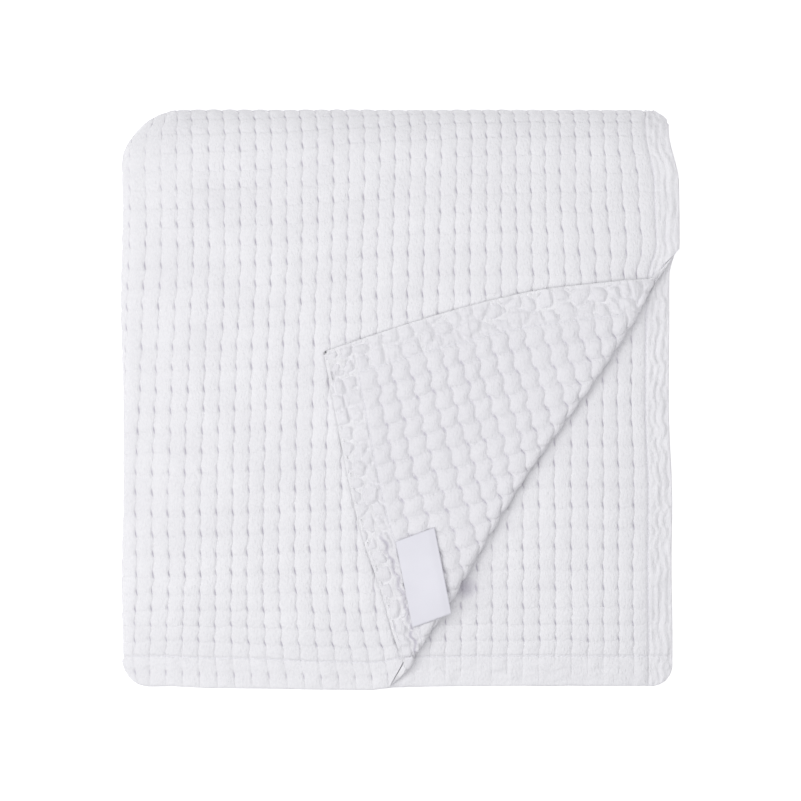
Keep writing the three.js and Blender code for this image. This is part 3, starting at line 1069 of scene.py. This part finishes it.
def flap_layout(p, q):
    """Where the flap's weave lines lie on it: from its tip towards the side and towards the near edge."""
    inside = smooth(p / 0.4) * smooth(q / 0.4)
    a = np.where(p > 0, STITCH_AT + FLAP_COLUMN * p, STITCH_AT * (1 + p / SIDE_HEM_CELLS))
    b = np.where(q > 0, STITCH_AT + FLAP_ROW * q, STITCH_AT * (1 + q / NEAR_HEM_CELLS))
    a = a + 0.08 * np.clip(b - STITCH_AT, 0, 120) * smooth(p / 5)
    wander = FLAP_ZIGZAG * np.sin(2 * PI * q) + 0.9 * soft_noise(0, p + 50, q + 50)
    a = a + inside * (wander + 1.2 * soft_noise(1, p / 5, q / 5))
    b = b + inside * (0.8 * soft_noise(2, p + 50, q + 50) + 0.9 * np.sin(PI * p) ** 2)
    return a, b


def flap_plan(a, b):
    x = FLAP_TIP[0] + a * TIP_TO_SIDE[0] + b * TIP_TO_NEAR[0]
    return x, FLAP_TIP[1] + a * TIP_TO_SIDE[1] + b * TIP_TO_NEAR[1]


def flap_level(run, distance):
    """Height of the flap's middle, which climbs to the fold's crest."""
    crest = TOP_MIDDLE + 2 * bend_radius(run)
    return FLAP_MIDDLE + (crest - FLAP_MIDDLE) * (1 - smooth(distance / 36))


def flap_place(a, b, off):
    """Lays a point of the flap on the stack and round the fold."""
    x, y = flap_plan(a, b)
    delta, run = past(x, y)
    distance = np.maximum(BEND_LINE - delta, 0)
    beyond = np.clip(delta - BEND_LINE, 0, None)
    angle = PI * beyond / BEND_LENGTH
    bend = bend_radius(run)
    pull = fold_shift(run) * (1 - smooth(distance / 60))
    shift = pull - beyond + (bend + off) * np.sin(angle)
    along_it = slide(pull, x - PAST_FOLD[0] * beyond, y - PAST_FOLD[1] * beyond)
    x = x + PAST_FOLD[0] * shift + ALONG_FOLD[0] * along_it
    y = y + PAST_FOLD[1] * shift + ALONG_FOLD[1] * along_it
    crest = TOP_MIDDLE + 2 * bend
    z = np.where(beyond > 0, crest - bend + (bend + off) * np.cos(angle), flap_level(run, distance) + off)
    z = z + fold_lift(run, distance)
    side_bow = 7.5 * np.sin(PI * np.clip(a / SIDE_REACH, 0, 1)) * np.exp(-b / 60)
    near_bow = 6.0 * bump(b, 166, 42) * np.exp(-a / 50)
    return x - TIP_TO_NEAR[0] * side_bow + near_bow, y - TIP_TO_NEAR[1] * side_bow, z, angle


def flap_relief(p, q, w):
    """The flap's relief: the weave, its hem bands, their stitched grooves and the gathers by the label, with
    painted shade in the slits and along the gathers.
    """
    upper, upper_slit = waffle(p, q, REVERSE)
    under, under_slit = waffle(p, q, OBVERSE)
    weave = np.where(w > 0, upper, under)
    slit = np.where(w > 0, upper_slit, under_slit)
    inside = smooth(p / 0.4) * smooth(q / 0.4)
    left = -p * STITCH_AT / SIDE_HEM_CELLS
    top = -q * STITCH_AT / NEAR_HEM_CELLS
    bands = np.where(left > 0, band(left, q * FLAP_ROW, 9, FLAP_PUFF, 0), 0)
    bands = bands + np.where(top > 0, band(top, p * FLAP_COLUMN, 8, FLAP_PUFF, 0), 0)
    faint = 0.45 * np.exp(-np.maximum(np.maximum(left, top), 0) / 14)
    height = weave * (inside + (1 - inside) * faint) + bands * (1 - inside)
    wave = GATHER_WAVE * np.sin(2 * PI * q * FLAP_ROW / GATHER_WAVELENGTH)
    gathered = rise(q * FLAP_ROW, GATHER_FROM, 14) * bump(left - wave, GATHER_AT, GATHER_WIDTH)
    height = height + 0.7 * (stitch_groove(left) + stitch_groove(top)) - GATHER_DEPTH * gathered
    # The second value is painted shade, in the slits and along the gathers' groove.
    return height, np.maximum(slit * inside, GATHER_PAINTED_SHADE * gathered)


def add_turned_corner():
    near_hem = rim(-SIDE_HEM_CELLS, -1) + plain(list(np.linspace(-SIDE_HEM_CELLS, 0, 30))[:-1])
    columns = near_hem + rows(0, FLAP_SIZE[0], FLAP_PLACES)
    lines = NEAR_HEM_UP + rows(0, FLAP_SIZE[1], FLAP_PLACES)
    p_back, q_back = backing(columns, 0.25), backing(lines, 0.25)
    mesh = slab_mesh("turned_corner_cloth", columns, lines, p_back, q_back, flap_layout)
    toward = np.array([TIP_TO_SIDE @ PAST_FOLD, TIP_TO_NEAR @ PAST_FOLD])
    start = past(*FLAP_TIP)[0]
    limit = BEND_LINE + BEND_LENGTH
    cut_mesh(mesh, ((limit - start) / toward[0], 0), toward)
    a, b, w = read_points(mesh)
    p, q = read_values(mesh, "p"), read_values(mesh, "q")
    relief, slit = flap_relief(p, q, w)
    angle = flap_place(a, b, 0)[3]
    to_fold = BEND_LINE - past(*flap_plan(a, b))[0]
    inside_fold = np.where(w < 0, 1 - rise(to_fold, 3, 14), 0)
    show = w * np.abs(w) * (1 - 0.45 * smooth(angle / 2.2)) * (1 - inside_fold)
    x, y, z, angle = flap_place(a, b, w * HALF + relief * show)
    # Painted shade: the flap's upper face is darkened all over, and its slits and gathers darker still.
    shade = np.maximum(slit * np.abs(show), FLAP_PAINTED_SHADE * np.clip(w, 0, 1))
    return add_piece("turned_corner_cloth", mesh, settle(x, y, z), shade, COTTON)


turned_corner = add_turned_corner()
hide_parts("corner_flap", "corner_fold", "flap_bottom_hem", "flap_side_hem")
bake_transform(turned_corner)


# ---- The label ----

LABEL_HINGE, LABEL_AXIS = joint("label_flip")
LABEL_DOWN = LABEL_AXIS[:2]
LABEL_OUT = np.array([-LABEL_DOWN[1], LABEL_DOWN[0]])
LABEL_WIDTH = 27.0
LABEL_LENGTH = 58.0
LABEL_THICKNESS = 0.45
LABEL_RISE = 4.3
LABEL_LIFT = 0.75
LABEL_WAVE = 0.5
LABEL_DROOP = 0.7


def add_label():
    """A satin ribbon, sewn down along one edge, lifting a little towards its free edge."""
    u_all = np.linspace(0, 1, 31)
    v_all = np.linspace(-0.5, 0.5, 49)
    u, v = np.meshgrid(u_all, v_all, indexing="ij")
    out = u * LABEL_WIDTH
    down = v * LABEL_LENGTH - u * LABEL_RISE
    x = LABEL_HINGE[0] + LABEL_OUT[0] * out + LABEL_DOWN[0] * down
    y = LABEL_HINGE[1] + LABEL_OUT[1] * out + LABEL_DOWN[1] * down
    delta, run = past(x, y)
    distance = np.maximum(BEND_LINE - delta, 0)
    for _ in range(4):
        distance = np.maximum(BEND_LINE - delta + fold_shift(run) * (1 - smooth(distance / 60)), 0)
    level = flap_level(run, distance) + fold_lift(run, distance)
    wave = LABEL_WAVE * np.sin(2 * PI * (v + 0.1)) * u ** 2
    curl = wave + 1.0 * u ** 2 - LABEL_DROOP * rise(u, 0.8, 0.2)
    z = level + HALF + LABEL_LIFT + curl
    top = np.stack(settle(x, y, z), axis=-1)
    low = top - np.array([0, 0, LABEL_THICKNESS])
    count = u.size
    ids = np.arange(count).reshape(u.shape)
    faces = grid_faces(ids) + [[number + count for number in face[::-1]] for face in grid_faces(ids)]
    ring = list(ids[:, 0]) + list(ids[-1, 1:]) + list(ids[-2::-1, -1]) + list(ids[0, -2:0:-1])
    for here, following in zip(ring, ring[1:] + ring[:1]):
        faces.append([following, here, here + count, following + count])
    mesh = bpy.data.meshes.new("satin_label")
    points = np.concatenate([top.reshape(-1, 3), low.reshape(-1, 3)])
    mesh.from_pydata(points.tolist(), [], [[int(number) for number in face] for face in faces])
    return add_piece("satin_label", mesh, points.T, None, SATIN)


label = add_label()
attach(label, "label")
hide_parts("label")


# ---- The top panel's flat size ----


def rows_length(first, last):
    return cloth_t(last) - cloth_t(first)


def corner_area(corner_s, corner_t):
    """The area of a right-angled corner of cloth, in square metres."""
    return corner_s * corner_t / 2 * MM ** 2


TOP_LENGTH = rows_length(-NEAR_HEM_CELLS, 25)
cut_point, cut_normal = top_cut()
cut_reach = cut_point[0] * cut_normal[0] + cut_point[1] * cut_normal[1]
top_area = (cloth_s(35) - cloth_s(-SIDE_HEM_CELLS)) * TOP_LENGTH * MM ** 2
top_area -= corner_area(cut_reach / cut_normal[0], cut_reach / cut_normal[1])


# ---- The hem stitches ----

STITCH = 3.4
STITCH_STEPS = 6
THREAD_RADIUS = 0.32
TUBE_SIDES = 6


def add_thread(name, path, body, node):
    """A line of lockstitches that dips into the cloth between stitches, along a path of surface points."""
    lengths = np.concatenate([[0], np.cumsum(np.linalg.norm(np.diff(path, axis=0), axis=1))])
    count = max(2, int(lengths[-1] / STITCH))
    place = np.linspace(0, lengths[-1], count * STITCH_STEPS + 1)
    points = np.stack([np.interp(place, lengths, path[:, axis]) for axis in range(3)], axis=-1)
    arch = np.abs(np.sin(PI * np.arange(len(place)) / STITCH_STEPS)) ** 0.6
    points[:, 2] += 0.5 * arch - 0.2
    radius = THREAD_RADIUS * (0.4 + 0.6 * arch)
    tangent = np.gradient(points, axis=0)
    tangent /= np.linalg.norm(tangent, axis=1)[:, None]
    side = np.cross(tangent, (0, 0, 1))
    side /= np.linalg.norm(side, axis=1)[:, None]
    up = np.cross(side, tangent)
    turn = 2 * PI * np.arange(TUBE_SIDES) / TUBE_SIDES
    ring = np.cos(turn)[None, :, None] * side[:, None] + np.sin(turn)[None, :, None] * up[:, None]
    tube = points[:, None] + radius[:, None, None] * ring
    ids = np.arange(len(place) * TUBE_SIDES).reshape(len(place), TUBE_SIDES)
    wrapped = np.concatenate([ids, ids[:, :1]], axis=1)
    faces = grid_faces(wrapped) + [ids[0].tolist(), ids[-1, ::-1].tolist()]
    mesh = bpy.data.meshes.new(name)
    tube = tube.reshape(-1, 3)
    mesh.from_pydata(tube.tolist(), [], faces)
    piece = add_piece(name, mesh, tube.T, None, THREAD)
    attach(piece, body)
    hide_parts(node)


def strip_path(p, q, face=1, corner=False):
    """Surface points in a stitched groove of the folded cloth."""
    s, t = layout(p, q)
    relief, _ = strip_relief(p, q)
    return np.stack(folded(s, t, face * (HALF + relief), corner), axis=-1)


def flap_path(p, q):
    a, b = flap_layout(p, q)
    relief, _ = flap_relief(p, q, np.ones_like(p))
    x, y, z, _ = flap_place(a, b, HALF + relief)
    return np.stack(settle(x, y, z), axis=-1)


PATH_POINTS = 400


def line(first, last):
    return np.linspace(first, last, PATH_POINTS)


zero = np.zeros(PATH_POINTS)
top_near = strip_path(line(16.8, 33.2), zero, corner=True)
top_side = strip_path(zero, line(18.4, 24.9), corner=True)
under_near = strip_path(line(106, 137.8), zero, -1)
under_side = strip_path(zero + 138, line(0.2, 24.9), -1)
flap_near = flap_path(zero, line(-0.3, 14.4))
flap_side = flap_path(line(-0.3, 15.8), zero)
add_thread("top_near_stitches", top_near, "upper_half", "bottom_hem_thread_01")
add_thread("under_near_stitches", under_near, "upper_half", "bottom_hem_thread_02")
add_thread("top_side_stitches", top_side, "upper_half", "side_hem_thread_01")
add_thread("under_side_stitches", under_side, "upper_half", "side_hem_thread_02")
add_thread("flap_near_stitches", flap_near, "turned_corner", "flap_bottom_hem_thread")
add_thread("flap_side_stitches", flap_side, "turned_corner", "flap_side_hem_thread")
